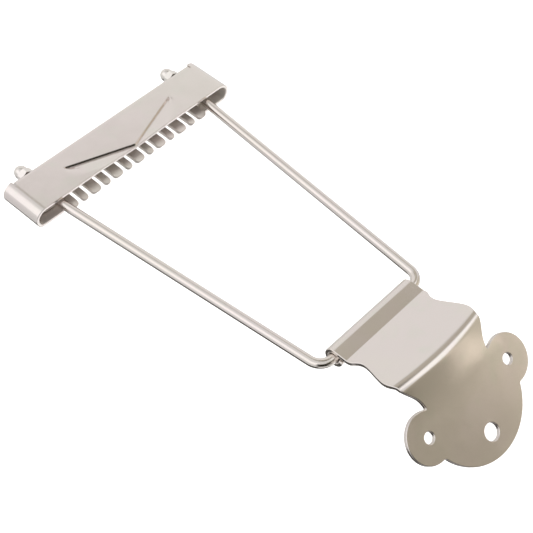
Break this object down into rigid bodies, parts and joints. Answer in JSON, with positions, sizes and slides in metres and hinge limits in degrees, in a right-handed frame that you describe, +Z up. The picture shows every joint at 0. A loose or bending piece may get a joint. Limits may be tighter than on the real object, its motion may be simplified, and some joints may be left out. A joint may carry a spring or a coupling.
{
  "type": "trapeze tailpiece",
  "caption": "Plated trapeze tailpiece for a guitar: a stamped tail bracket hinged on a bent wire whose rods carry a covered string bar with a toothed comb.",
  "frame": {"origin": "point on the inner face of the tail plate, on the centre line and level with the two screw holes, where the tailpiece lies against the guitar's tail", "axes": "+X across the strings, along the hinge; +Y along the rods from the tail to the string bar; +Z up, square to the plane of the rods"},
  "size_m": [0.097, 0.1964, 0.0279],
  "materials": {
    "bracket_plating": "bright nickel plate on stamped steel, with faint rub marks",
    "wire_plating": "bright nickel plate on steel wire",
    "cover_plating": "bright nickel plate on stamped steel, slightly satin",
    "comb_plating": "nickel plate on punched steel, duller on the cut edges",
    "nut_plating": "bright nickel plate on turned steel"
  },
  "bodies": {
    "bracket": {"tail_bracket": "bracket_plating"},
    "trapeze": {"trapeze_wire": "wire_plating", "bar_cover": "cover_plating", "string_comb": "comb_plating", "rod_nut_left": "nut_plating", "rod_nut_right": "nut_plating"}
  },
  "joints": [
    {"name": "wire_in_knuckle", "type": "hinge", "parent": "bracket", "child": "trapeze", "pos_m": [0, 0.03951, 0.00366], "axis": [1, 0, 0], "range_deg": [-168, 175]}
  ]
}
